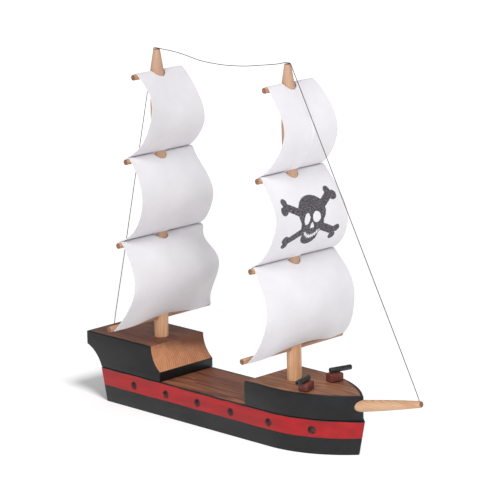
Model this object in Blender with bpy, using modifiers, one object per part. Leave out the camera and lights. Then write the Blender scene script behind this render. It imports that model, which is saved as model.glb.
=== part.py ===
"""A two-masted wooden toy ship: a plank hull with raised ends, dowel masts that turn in their
sockets, yards, cloth sails, a bowsprit, two small cannons and one rigging thread.

Metres, +X towards the bow, +Y to port, +Z up. The origin is the middle of the hull's flat bottom.
"""

import math

import bmesh
import bpy
from mathutils import Matrix, Vector

# Fits
GAP = 0.0003  # between pieces that are glued or rest on each other
MAST_CLEARANCE = 0.0001  # round each mast in its socket, where it turns

# Hull board
HULL_HALF_WIDTH = 0.026
HULL_THICKNESS = 0.024
KEEL_LENGTH = 0.217
END_RAKE = 0.0053  # how far the stern and the stem lean out over the board's thickness
BOW_START_X = 0.0513  # where the sides begin to curve in
EDGE_ROUND = 0.0005

# Raised blocks
POOP_TOP_Z = 0.048
POOP_STERN_X = -0.1282
POOP_STERN_CORNER_Z = 0.0386  # the foot of the stern's upright top part
POOP_FRONT_TOP_X = -0.0631
POOP_FRONT_FOOT_X = -0.0542
POOP_FRONT_COVE_Z = 0.031  # the foot of the front cove
STERN_COVE_DEPTH = 0.0023
FRONT_COVE_DEPTH = 0.0024
FORECASTLE_TOP_Z = 0.041
FORECASTLE_AFT_X = 0.0279
FORECASTLE_STEM_X = 0.1122

# Portholes, blind holes in both sides
PORTHOLE_RADIUS = 0.0024
PORTHOLE_DEPTH = 0.0025
PORTHOLE_Z = 0.0166
PORTHOLE_XS = (-0.0805, -0.0485, -0.0175, 0.0145, 0.050, 0.0845)

# Masts and yards, listed from the bottom up
MAST_RADIUS = 0.005
MAST_TIP_RADIUS = 0.00225
MAST_TAPER = 0.017
MAST_FOOT_Z = 0.010
MAST_FOOT_CHAMFER = 0.001
YARD_RADIUS = 0.002
YARD_LENGTHS = (0.097, 0.080, 0.063, 0.046)
YARD_SHIFTS = (-0.0015, 0.0, 0.0, 0.0)  # the lowest yards reach a little further to starboard
# A mast's x is where its axis meets the bottom of the hull; it leans forward from there
MASTS = {
    "main": {"x": -0.0791, "lean": 0.50, "top": 0.2521, "yard": 0.0625, "spacing": 0.0575},
    "fore": {"x": 0.0507, "lean": -0.83, "top": 0.2553, "yard": 0.0635, "spacing": 0.0590},
}

# Sails
SAIL_NAMES = ("lower", "middle", "top")
SAIL_THICKNESS = 0.0006
SAIL_BELLY = 0.0165  # how far the sail stands before the mast's axis
SAIL_STARBOARD_MARGIN = 0.0035  # yard left bare at the starboard end
SAIL_PORT_MARGIN = 0.001
SAIL_COLUMNS = 12
SAIL_ROWS = 10
NOTCH_HALF_WIDTH = 0.0085
NOTCH_ABOVE = 0.002  # the notch's mouth is level with the top of the yard
NOTCH_BELOW = 0.0026

# Bowsprit
BOWSPRIT_FOOT = Vector((0.0880, 0.0, 0.0293))
BOWSPRIT_TIP = Vector((0.1630, 0.0, 0.0458))
BOWSPRIT_RADIUS = 0.004
BOWSPRIT_TIP_RADIUS = 0.0023
BOWSPRIT_PARALLEL = 0.026  # the stretch inside the block, which isn't tapered
BOWSPRIT_CHAMFER = 0.0012

# Cannons, square to the curved edge of the forecastle
CANNON_X = 0.0739
CANNON_Y = 0.0140
CANNON_HEADING = math.radians(74)  # from the bow, outwards
CARRIAGE_SIZE = (0.0100, 0.0072, 0.0057)
CARRIAGE_ROUND = 0.0008
BARREL_RADIUS = 0.0018
BARREL_LENGTH = 0.0165
BARREL_FORWARD = 0.0045  # from the carriage's middle to the barrel's

# Rigging thread, one piece from the stern over both mast tips to the bowsprit: its x and z
THREAD_RADIUS = 0.00025
THREAD_HOLE_RADIUS = 0.0007
THREAD_SPACING = 0.011
THREAD_ROUTE = (
    (-0.1272, 0.0450),
    (-0.1272, 0.0470),
    (-0.1270, 0.0495),
    (-0.1152, 0.1001),
    (-0.1035, 0.1507),
    (-0.0917, 0.2014),
    (-0.08078, 0.24818),
    (-0.07979, 0.25224),
    (-0.07957, 0.25260),
    (-0.0791, 0.25277),
    (-0.0769, 0.25275),
    (-0.0747, 0.25271),
    (-0.0715, 0.2525),
    (-0.0614, 0.2521),
    (-0.0501, 0.2509),
    (-0.0355, 0.2486),
    (-0.0243, 0.2480),
    (-0.0110, 0.2480),
    (0.0078, 0.2494),
    (0.0186, 0.2510),
    (0.0315, 0.2530),
    (0.0401, 0.2546),
    (0.0444, 0.25580),
    (0.0448, 0.25592),
    (0.0470, 0.25595),
    (0.0489, 0.25597),
    (0.04950, 0.25585),
    (0.0500, 0.2550),
    (0.0682, 0.2213),
    (0.0852, 0.1897),
    (0.1022, 0.1580),
    (0.1252, 0.1151),
    (0.1480, 0.0727),
    (0.1604, 0.0489),
    (0.1610, 0.0473),
    (0.16145, 0.0452),
)

ROUND = 40  # sides of a mast and its socket
SMALL_ROUND = 16
SMOOTH_ANGLE = math.radians(35)

# Colour, roughness
PAINT = {
    "hull_red": ((0.50, 0.035, 0.04), 0.45),
    "black_paint": ((0.03, 0.03, 0.032), 0.5),
    "dowel": ((0.66, 0.42, 0.25), 0.6),
    "canvas": ((0.80, 0.79, 0.80), 0.9),
    "carriage_brown": ((0.16, 0.035, 0.025), 0.55),
    "barrel_black": ((0.025, 0.03, 0.032), 0.5),
    "thread": ((0.10, 0.10, 0.105), 0.8),
}


def start_clean():
    """Removes what is in the scene and makes one collection for the parts and one for the cutters."""
    for old in list(bpy.data.objects):
        bpy.data.objects.remove(old)
    collections = {}
    for name in ("toy_boat", "cutters"):
        collections[name] = bpy.data.collections.new(name)
        bpy.context.scene.collection.children.link(collections[name])
    return collections["toy_boat"], collections["cutters"]


def make_materials():
    made = {}
    for name, (colour, roughness) in PAINT.items():
        material = bpy.data.materials.new(name)
        material.use_nodes = True
        shader = material.node_tree.nodes["Principled BSDF"]
        shader.inputs["Base Color"].default_value = (*colour, 1.0)
        shader.inputs["Roughness"].default_value = roughness
        material.diffuse_color = (*colour, 1.0)
        made[name] = material
    return made


PARTS, CUTTERS = start_clean()
MATERIALS = make_materials()


def file_away(piece, collection):
    for old in list(piece.users_collection):
        old.objects.unlink(piece)
    collection.objects.link(piece)
    return piece


def as_part(piece, name, material):
    """Names the piece, gives it its material and files it with the parts."""
    piece.name = name
    piece.data.name = name
    piece.data.materials.clear()
    piece.data.materials.append(MATERIALS[material])
    return file_away(piece, PARTS)


def as_cutter(piece, name):
    piece.name = name
    piece.hide_render = True
    piece.display_type = "WIRE"
    return file_away(piece, CUTTERS)


def smooth(piece):
    piece.data.shade_smooth()
    piece.data.set_sharp_from_angle(angle=SMOOTH_ANGLE)
    return piece


def cut(piece, cutter):
    modifier = piece.modifiers.new("cut_" + cutter.name, "BOOLEAN")
    modifier.operation = "DIFFERENCE"
    modifier.solver = "EXACT"
    modifier.object = cutter


def ease_edges(piece, width):
    modifier = piece.modifiers.new("eased_edges", "BEVEL")
    modifier.width = width
    modifier.segments = 2
    modifier.limit_method = "ANGLE"
    modifier.angle_limit = math.radians(25)


def cylinder(start, end, radius, sides, end_radius=None):
    """A round bar from start to end, its origin in the middle of its length."""
    axis = end - start
    bpy.ops.mesh.primitive_cone_add(
        vertices=sides,
        radius1=radius,
        radius2=radius if end_radius is None else end_radius,
        depth=axis.length,
        location=(start + end) / 2,
        rotation=axis.to_track_quat("Z", "Y").to_euler(),
    )
    return bpy.context.object


def slab(outline, thickness):
    """A mesh slab of that flat outline, centred on z = 0, from a filled curve."""
    curve = bpy.data.curves.new("outline", "CURVE")
    curve.dimensions = "2D"
    curve.fill_mode = "BOTH"
    curve.extrude = thickness / 2
    spline = curve.splines.new("POLY")
    spline.points.add(len(outline) - 1)
    for point, (x, y) in zip(spline.points, outline):
        point.co = (x, y, 0, 1)
    spline.use_cyclic_u = True
    drawn = bpy.data.objects.new("outline", curve)
    bpy.context.scene.collection.objects.link(drawn)
    bpy.context.view_layer.update()
    evaluated = drawn.evaluated_get(bpy.context.evaluated_depsgraph_get())
    mesh = bpy.data.meshes.new_from_object(evaluated)
    piece = bpy.data.objects.new("slab", mesh)
    bpy.context.scene.collection.objects.link(piece)
    bpy.data.objects.remove(drawn)
    shape = bmesh.new()
    shape.from_mesh(mesh)
    bmesh.ops.remove_doubles(shape, verts=shape.verts, dist=1e-6)
    bmesh.ops.recalc_face_normals(shape, faces=shape.faces)
    shape.to_mesh(mesh)
    shape.free()
    return piece


def side_y(x, tip_x):
    """Half width of an outline whose sides curve in to a point at tip_x."""
    if x <= BOW_START_X:
        return HULL_HALF_WIDTH
    run = tip_x - BOW_START_X
    radius = (run * run + HULL_HALF_WIDTH**2) / (2 * HULL_HALF_WIDTH)
    return math.sqrt(radius**2 - (x - BOW_START_X) ** 2) - (radius - HULL_HALF_WIDTH)


def ship_outline(aft_x, tip_x):
    """Straight aft edge, parallel sides and a pointed bow, anticlockwise from the aft port corner."""
    steps = 14
    run = tip_x - BOW_START_X
    xs = [BOW_START_X + run * math.sin(math.pi / 2 * i / steps) for i in range(steps)]
    port = [(x, side_y(x, tip_x)) for x in xs]
    starboard = [(x, -y) for x, y in port]
    aft = [(aft_x, HULL_HALF_WIDTH), (aft_x, -HULL_HALF_WIDTH)]
    return aft + starboard + [(tip_x, 0.0)] + port[::-1]


def arc(start, end, depth):
    """Points after start up to end on an arc that stands depth off the chord, to its left."""
    steps = 8
    chord = math.dist(start, end)
    radius = (chord**2 / 4 + depth**2) / (2 * depth)
    along = Vector((end[0] - start[0], end[1] - start[1])) / chord
    left = Vector((-along.y, along.x))
    middle = (Vector(start) + Vector(end)) / 2 + left * (depth - radius)
    half = math.asin(chord / 2 / radius)
    turns = [half - 2 * half * i / steps for i in range(1, steps)]
    inner = [middle + radius * (left * math.cos(a) - along * math.sin(a)) for a in turns]
    return [tuple(p) for p in inner] + [end]


# ---------------------------------------------------------------- hull


def hull_side_normal(x):
    """The outward direction of the starboard side at x, at the deck's outline."""
    tip = KEEL_LENGTH / 2 + END_RAKE
    step = 1e-5
    slope = (side_y(x + step, tip) - side_y(x, tip)) / step
    return Vector((-slope, -1.0, 0.0)).normalized()


def make_hull_board():
    deck_half = KEEL_LENGTH / 2 + END_RAKE
    hull = slab(ship_outline(-deck_half, deck_half), HULL_THICKNESS)
    for vertex in hull.data.vertices:
        if vertex.co.z < 0:
            if vertex.co.x < 0:
                vertex.co.x += END_RAKE
            elif vertex.co.x > BOW_START_X:
                share = (vertex.co.x - BOW_START_X) / (deck_half - BOW_START_X)
                vertex.co.x -= END_RAKE * share
    hull.location.z = HULL_THICKNESS / 2
    as_part(hull, "hull_board", "hull_red")
    ease_edges(hull, EDGE_ROUND)
    for number, x in enumerate(PORTHOLE_XS, 1):
        for side, y_sign in (("starboard", 1), ("port", -1)):
            outward = hull_side_normal(x)
            outward.y *= y_sign
            wall = Vector((x, -y_sign * side_y(x, deck_half), PORTHOLE_Z))
            hole = cylinder(
                wall - outward * PORTHOLE_DEPTH, wall + outward * 0.004, PORTHOLE_RADIUS, SMALL_ROUND
            )
            cut(hull, as_cutter(hole, f"porthole_{side}_{number}"))
    return hull


def make_poop_block():
    """Its outline is drawn from the side, x and z, and then stood up."""
    deck = HULL_THICKNESS + GAP
    stern_foot = (-KEEL_LENGTH / 2 - END_RAKE, deck)
    stern_corner = (POOP_STERN_X, POOP_STERN_CORNER_Z)
    cove_top = (POOP_FRONT_TOP_X, POOP_TOP_Z)
    cove_foot = (POOP_FRONT_FOOT_X, POOP_FRONT_COVE_Z)
    outline = [(POOP_FRONT_FOOT_X, deck), cove_foot]
    outline += arc(cove_foot, cove_top, FRONT_COVE_DEPTH)
    outline += [(POOP_STERN_X, POOP_TOP_Z), stern_corner]
    outline += arc(stern_corner, stern_foot, STERN_COVE_DEPTH)
    block = slab(outline, 2 * HULL_HALF_WIDTH)
    block.data.transform(Matrix.Rotation(math.pi / 2, 4, "X"))
    as_part(block, "poop_block", "black_paint")
    ease_edges(block, EDGE_ROUND)
    return block


def make_forecastle_block():
    thickness = FORECASTLE_TOP_Z - HULL_THICKNESS - GAP
    block = slab(ship_outline(FORECASTLE_AFT_X, FORECASTLE_STEM_X), thickness)
    block.location.z = FORECASTLE_TOP_Z - thickness / 2
    as_part(block, "forecastle_block", "black_paint")
    ease_edges(block, EDGE_ROUND)
    return block


def make_mast_axis(mast):
    """The empty that carries a mast and all that turns with it, leaning as the mast does."""
    axis = bpy.data.objects.new(mast + "_mast_axis", None)
    axis.location.x = MASTS[mast]["x"]
    axis.rotation_euler.y = math.radians(MASTS[mast]["lean"])
    PARTS.objects.link(axis)
    return axis


def drill_mast_socket(mast, axis, pieces):
    foot = Vector((0, 0, MAST_FOOT_Z))
    top = Vector((0, 0, POOP_TOP_Z + 0.01))
    hole = cylinder(foot, top, MAST_RADIUS + MAST_CLEARANCE, ROUND)
    hole.parent = axis
    socket = as_cutter(hole, mast + "_mast_socket")
    for piece in pieces:
        cut(piece, socket)


# ---------------------------------------------------------------- masts and yards


def yard_z(mast, level):
    return MASTS[mast]["yard"] + MASTS[mast]["spacing"] * level


def make_mast(mast, axis):
    """A turned dowel with a tapered tip and a cross-hole for each yard."""
    top = MASTS[mast]["top"]
    foot = MAST_FOOT_Z + GAP
    profile = [
        (0.0, top),
        (MAST_TIP_RADIUS, top),
        (MAST_RADIUS, top - MAST_TAPER),
        (MAST_RADIUS, foot + MAST_FOOT_CHAMFER),
        (MAST_RADIUS - MAST_FOOT_CHAMFER, foot),
        (0.0, foot),
    ]
    mesh = bpy.data.meshes.new("mast")
    shape = bmesh.new()
    corners = [shape.verts.new((r, 0, z)) for r, z in profile]
    for upper, lower in zip(corners, corners[1:]):
        shape.edges.new((upper, lower))
    shape.to_mesh(mesh)
    shape.free()
    piece = bpy.data.objects.new("mast", mesh)
    piece.parent = axis
    as_part(piece, mast + "_mast", "dowel")
    turn = piece.modifiers.new("turned", "SCREW")
    turn.steps = ROUND
    turn.render_steps = ROUND
    turn.use_merge_vertices = True
    turn.merge_threshold = 0.00001
    turn.use_smooth_shade = True
    for level in range(len(YARD_LENGTHS)):
        middle = Vector((0, 0, yard_z(mast, level)))
        reach = Vector((0, 2 * MAST_RADIUS, 0))
        hole = cylinder(middle - reach, middle + reach, YARD_RADIUS + GAP, SMALL_ROUND)
        hole.parent = axis
        cut(piece, as_cutter(hole, f"{mast}_yard_hole_{level + 1}"))
    return piece


def make_yard(mast, level, axis):
    half = Vector((0, YARD_LENGTHS[level] / 2, 0))
    middle = Vector((0, YARD_SHIFTS[level], yard_z(mast, level)))
    yard = cylinder(middle - half, middle + half, YARD_RADIUS, SMALL_ROUND)
    as_part(yard, f"{mast}_yard_{level + 1}", "dowel")
    yard.parent = axis
    return smooth(yard)


# ---------------------------------------------------------------- sails


def make_sail(mast, level, axis):
    """A cloth bellied forward between two yards, notched at the head where the mast passes."""
    upper_z = yard_z(mast, level + 1)
    lower_z = yard_z(mast, level) + YARD_RADIUS + 2 * GAP
    face_x = YARD_RADIUS + GAP + SAIL_THICKNESS / 2
    chord = upper_z - lower_z
    depth = SAIL_BELLY - face_x
    radius = (chord**2 / 4 + depth**2) / (2 * depth)
    half_turn = math.asin(chord / 2 / radius)
    mesh = bpy.data.meshes.new("sail")
    shape = bmesh.new()
    rows = []
    for i in range(SAIL_ROWS + 1):
        turn = half_turn * (1 - 2 * i / SAIL_ROWS)
        x = face_x + radius * (math.cos(turn) - math.cos(half_turn))
        z = (upper_z + lower_z) / 2 + radius * math.sin(turn)
        share = (upper_z - z) / chord
        half = (YARD_LENGTHS[level + 1] * (1 - share) + YARD_LENGTHS[level] * share) / 2
        starboard = -half + SAIL_STARBOARD_MARGIN
        width = half - SAIL_PORT_MARGIN - starboard
        rows.append(
            [
                shape.verts.new((x, starboard + width * j / SAIL_COLUMNS, z))
                for j in range(SAIL_COLUMNS + 1)
            ]
        )
    for upper, lower in zip(rows, rows[1:]):
        for j in range(SAIL_COLUMNS):
            shape.faces.new((upper[j], lower[j], lower[j + 1], upper[j + 1]))
    shape.to_mesh(mesh)
    shape.free()
    sail = bpy.data.objects.new("sail", mesh)
    as_part(sail, f"{mast}_sail_{SAIL_NAMES[level]}", "canvas")
    sail.parent = axis
    cloth = sail.modifiers.new("cloth", "SOLIDIFY")
    cloth.thickness = SAIL_THICKNESS
    cloth.offset = 0
    for cutter in sail_cutters(mast, level):
        cutter.parent = axis
        cut(sail, cutter)
    return smooth(sail)


def sail_cutters(mast, level):
    """The notch round the mast at the head, and room for the mast and the yard at the foot."""
    notch_height = NOTCH_ABOVE + NOTCH_BELOW
    notch_radius = (NOTCH_HALF_WIDTH**2 + notch_height**2) / (2 * notch_height)
    centre = Vector((0, 0, yard_z(mast, level + 1) - NOTCH_BELOW + notch_radius))
    reach = Vector((2 * MAST_RADIUS, 0, 0))
    name = f"{mast}_{SAIL_NAMES[level]}"
    notch = as_cutter(cylinder(centre, centre + reach, notch_radius, ROUND), name + "_notch")
    foot = Vector((0, 0, yard_z(mast, level)))
    rise = Vector((0, 0, 2 * MAST_RADIUS))
    room = as_cutter(
        cylinder(foot - rise, foot + rise, MAST_RADIUS + GAP, ROUND), name + "_mast_room"
    )
    return notch, room


# ---------------------------------------------------------------- bowsprit, cannons, thread


def make_bowsprit():
    """A dowel let into the stem, parallel inside the block and tapered outside it."""
    axis = BOWSPRIT_TIP - BOWSPRIT_FOOT
    length = axis.length
    profile = [
        (0.0, length),
        (BOWSPRIT_TIP_RADIUS - BOWSPRIT_CHAMFER, length),
        (BOWSPRIT_TIP_RADIUS, length - BOWSPRIT_CHAMFER),
        (BOWSPRIT_RADIUS, BOWSPRIT_PARALLEL),
        (BOWSPRIT_RADIUS, 0.0),
        (0.0, 0.0),
    ]
    mesh = bpy.data.meshes.new("bowsprit")
    shape = bmesh.new()
    corners = [shape.verts.new((r, 0, z)) for r, z in profile]
    for upper, lower in zip(corners, corners[1:]):
        shape.edges.new((upper, lower))
    shape.to_mesh(mesh)
    shape.free()
    piece = bpy.data.objects.new("bowsprit", mesh)
    piece.location = BOWSPRIT_FOOT
    piece.rotation_euler = axis.to_track_quat("Z", "Y").to_euler()
    as_part(piece, "bowsprit", "dowel")
    turn = piece.modifiers.new("turned", "SCREW")
    turn.steps = ROUND
    turn.render_steps = ROUND
    turn.use_merge_vertices = True
    turn.merge_threshold = 0.00001
    turn.use_smooth_shade = True
    return piece


def make_cannon(side, y_sign):
    heading = Vector((math.cos(CANNON_HEADING), y_sign * math.sin(CANNON_HEADING), 0))
    middle = Vector((CANNON_X, y_sign * CANNON_Y, FORECASTLE_TOP_Z + GAP))
    length, width, height = CARRIAGE_SIZE
    bpy.ops.mesh.primitive_cube_add(
        size=1,
        location=middle + Vector((0, 0, height / 2)),
        rotation=(0, 0, y_sign * CANNON_HEADING),
        scale=CARRIAGE_SIZE,
    )
    bpy.ops.object.transform_apply(location=False, rotation=False, scale=True)
    carriage = as_part(bpy.context.object, "cannon_carriage_" + side, "carriage_brown")
    ease_edges(carriage, CARRIAGE_ROUND)
    lift = Vector((0, 0, height + GAP + BARREL_RADIUS))
    centre = middle + heading * BARREL_FORWARD + lift
    half = heading * BARREL_LENGTH / 2
    barrel = cylinder(centre - half, centre + half, BARREL_RADIUS, SMALL_ROUND)
    return carriage, smooth(as_part(barrel, "cannon_barrel_" + side, "barrel_black"))


def smooth_points(route, spacing):
    """Points on a smooth curve through the route's own, by centripetal Catmull-Rom."""
    padded = [2 * route[0] - route[1], *route, 2 * route[-1] - route[-2]]
    points = []
    for a, b, c, d in zip(padded, padded[1:], padded[2:], padded[3:]):
        knots = [0.0]
        for p, q in ((a, b), (b, c), (c, d)):
            knots.append(knots[-1] + math.sqrt((q - p).length))
        steps = math.ceil((c - b).length / spacing)
        for i in range(steps):
            t = knots[1] + (knots[2] - knots[1]) * i / steps
            points.append(barry_goldman((a, b, c, d), knots, t))
    points.append(route[-1])
    return points


def barry_goldman(corners, knots, t):
    """The Catmull-Rom curve's point at t, by repeated interpolation between its corners."""
    level = list(corners)
    for reach in (1, 2):
        level = [
            p.lerp(q, (t - knots[i]) / (knots[i + reach] - knots[i]))
            for i, (p, q) in enumerate(zip(level, level[1:]))
        ]
    first, second = level
    return first.lerp(second, (t - knots[1]) / (knots[2] - knots[1]))


def make_thread():
    route = [Vector((x, 0.0, z)) for x, z in THREAD_ROUTE]
    points = smooth_points(route, THREAD_SPACING)
    curve = bpy.data.curves.new("rigging_thread", "CURVE")
    curve.dimensions = "3D"
    curve.bevel_depth = THREAD_RADIUS
    curve.bevel_resolution = 2
    curve.use_fill_caps = True
    spline = curve.splines.new("POLY")
    spline.points.add(len(points) - 1)
    for point, place in zip(spline.points, points):
        point.co = (*place, 1)
    return as_part(bpy.data.objects.new("rigging_thread", curve), "rigging_thread", "thread")


def drill_thread_hole(piece, end, inner, name):
    """A small blind hole in line with the thread's glued end, from just past it outwards."""
    out = (inner - end).normalized()
    start = end - out * 2 * GAP
    hole = cylinder(start, end + out * 0.008, THREAD_HOLE_RADIUS, SMALL_ROUND)
    cut(piece, as_cutter(hole, name))


def make_boat():
    hull = make_hull_board()
    poop = make_poop_block()
    forecastle = make_forecastle_block()
    for mast, raised_block in (("main", poop), ("fore", forecastle)):
        axis = make_mast_axis(mast)
        drill_mast_socket(mast, axis, (hull, raised_block))
        make_mast(mast, axis)
        for level in range(len(YARD_LENGTHS)):
            make_yard(mast, level, axis)
        for level in range(len(SAIL_NAMES)):
            make_sail(mast, level, axis)
    bowsprit = make_bowsprit()
    inwards = (BOWSPRIT_FOOT - BOWSPRIT_TIP).normalized()
    hole = cylinder(BOWSPRIT_FOOT + inwards * GAP, BOWSPRIT_TIP, BOWSPRIT_RADIUS + GAP, ROUND)
    cut(forecastle, as_cutter(hole, "bowsprit_hole"))
    make_cannon("port", 1)
    make_cannon("starboard", -1)
    make_thread()
    ends = [Vector((x, 0.0, z)) for x, z in THREAD_ROUTE]
    drill_thread_hole(poop, ends[0], ends[1], "stern_thread_hole")
    drill_thread_hole(bowsprit, ends[-1], ends[-2], "bowsprit_thread_hole")


make_boat()
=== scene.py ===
"""The looks of the two-masted toy ship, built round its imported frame: metres, in the frame's axes."""

import math

import bmesh
import bpy
from mathutils import Matrix, Vector


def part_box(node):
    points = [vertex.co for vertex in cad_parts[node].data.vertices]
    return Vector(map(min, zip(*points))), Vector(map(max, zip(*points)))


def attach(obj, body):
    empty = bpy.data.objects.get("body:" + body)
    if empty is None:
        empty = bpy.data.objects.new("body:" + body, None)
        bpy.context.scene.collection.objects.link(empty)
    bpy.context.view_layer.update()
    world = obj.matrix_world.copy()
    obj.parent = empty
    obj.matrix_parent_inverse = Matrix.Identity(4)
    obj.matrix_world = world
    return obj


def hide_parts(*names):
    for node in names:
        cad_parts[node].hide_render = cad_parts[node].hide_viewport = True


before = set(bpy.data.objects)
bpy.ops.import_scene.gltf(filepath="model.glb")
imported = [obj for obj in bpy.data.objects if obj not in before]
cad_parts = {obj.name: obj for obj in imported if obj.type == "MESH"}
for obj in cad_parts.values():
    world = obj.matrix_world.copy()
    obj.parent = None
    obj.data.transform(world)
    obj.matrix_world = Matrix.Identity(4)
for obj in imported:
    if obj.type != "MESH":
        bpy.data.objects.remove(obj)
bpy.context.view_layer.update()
MM = 0.001
HULL_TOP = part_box("hull_board")[1]

# Shapes of the hull and its two blocks that the frame's boxes don't give
END_RAKE = 5.3 * MM
BOW_START_X = 51.3 * MM
EDGE_ROUND = 0.55 * MM
STERN_CORNER_Z = 38.6 * MM
COVE_TOP_X = -63.1 * MM
COVE_FOOT_Z = 31.0 * MM
STERN_COVE_DEPTH = 2.3 * MM
FRONT_COVE_DEPTH = 2.4 * MM
STEM_HALF_WIDTH = 0.96 * MM  # where the sides stop and the rounded stem starts
WATERLINE_Z = 11.8 * MM
PORTHOLE_XS = (-80.5, -48.5, -17.5, 14.5, 50.0, 84.5)
PORTHOLE_Z = 16.6 * MM
PORTHOLE_RADIUS = 2.4 * MM
PORTHOLE_DEPTH = 2.5 * MM

MAST_RADIUS = 5.0 * MM
MAST_TIP_RADIUS = 2.25 * MM
MAST_TAPER = 17 * MM
MAST_FOOT = 10.3 * MM
YARD_BORE_GAP = 0.15 * MM
# Where each mast's axis meets the bottom of the hull, how far it leans forward, and how long it is
MASTS = {
    "main": {"x": -79.1 * MM, "lean": math.radians(0.50), "top": 252.1 * MM},
    "fore": {"x": 50.7 * MM, "lean": math.radians(-0.83), "top": 255.3 * MM},
}

BOWSPRIT_FOOT = Vector((88.0, 0, 29.3)) * MM
BOWSPRIT_TIP = Vector((163.0, 0, 45.8)) * MM
BOWSPRIT_TIP_RADIUS = 2.3 * MM
BOWSPRIT_FULL = 26 * MM  # how far from its foot it starts to taper
BOWSPRIT_SWELL = 0.25 * MM
CANNON_HEADING = math.radians(74)
CARRIAGE_SIZE = (10.0 * MM, 7.2 * MM)
BARREL_LENGTH = 16.5 * MM
MUZZLE_RADIUS = 0.8 * MM
MUZZLE_DEPTH = 3 * MM

# The rigging thread, and its route in x and z as the frame has it
THREAD_DIAMETER = 0.5 * MM
THREAD_LENGTH = 0.58
THREAD_TURN = 1.4 * MM
THREAD_ROUTE_MM = (
    (-127.2, 45), (-127.2, 47), (-127, 49.5), (-115.2, 100.1), (-103.5, 150.7), (-91.7, 201.4),
    (-80.78, 248.18), (-79.79, 252.24), (-79.57, 252.6), (-79.1, 252.77), (-76.9, 252.75), (-74.7, 252.71),
    (-71.5, 252.5), (-61.4, 252.1), (-50.1, 250.9), (-35.5, 248.6), (-24.3, 248), (-11, 248),
    (7.8, 249.4), (18.6, 251), (31.5, 253), (40.1, 254.6), (44.4, 255.8), (44.8, 255.92),
    (47, 255.95), (48.9, 255.97), (49.5, 255.85), (50, 255), (68.2, 221.3), (85.2, 189.7),
    (102.2, 158), (125.2, 115.1), (148, 72.7), (160.4, 48.9), (161, 47.3), (161.45, 45.2),
)
THREAD_ROUTE = [Vector((x * MM, 0.0, z * MM)) for x, z in THREAD_ROUTE_MM]
THREAD_HOLE_RADIUS = 0.55 * MM

# Where the camera stands
AZIMUTH = math.radians(44.65)
ELEVATION = math.radians(13.61)
ROLL = math.radians(-0.9)
DISTANCE = 1.8865
TARGET = Vector((5.6, 0, 123.2)) * MM
LENS_MM = 200.9
SENSOR_MM = 36.0
LAMP_DISTANCE = 3.0
FLOOR_RADIUS = 6.0

SMOOTH_ANGLE = math.radians(32)

# The relief and the gloss of the paint, and the pith of each kind of wood in millimetres
PAINT_DEPTH = 0.05 * MM
PAINT_GLOSS = 0.34
HULL_PITH = (0, -28, -34)
POOP_PITH = (0, 54, -44)
BOW_PITH = (0, 22, -60)
DOWEL_PITH = (3.1, 6.0, 4.0)
CARRIAGE_PITH = (60, 50, 0)


def srgb(red, green, blue):
    """A screen colour from 0 to 255 as a linear colour with alpha."""
    linear = [((c / 255 + 0.055) / 1.055) ** 2.4 if c > 10 else c / 255 / 12.92 for c in (red, green, blue)]
    return (*linear, 1.0)


# ---------------- materials

WEAVE_PITCH = 0.42 * MM
EMBLEM_CENTRE = (2.2 * MM, 36.2 * MM)  # across the cloth and down it

# Each board's bare or stained face: its pith, the width of a year, the colours of early wood,
# late wood and streaks, and how far the black comes in over its edge
DECKS = {
    "waist_deck": (HULL_PITH, 1.55, (170, 108, 76), (102, 56, 40), (78, 40, 30), 1.6),
    "poop_deck": (POOP_PITH, 1.75, (136, 86, 64), (92, 52, 38), (72, 38, 30), 1.6),
    "bow_deck": (BOW_PITH, 1.5, (172, 118, 84), (130, 82, 58), (104, 64, 46), 2.0),
    "bare_bottom": (HULL_PITH, 1.55, (222, 176, 132), (190, 136, 94), (168, 114, 78), 3.0),
}


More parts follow.
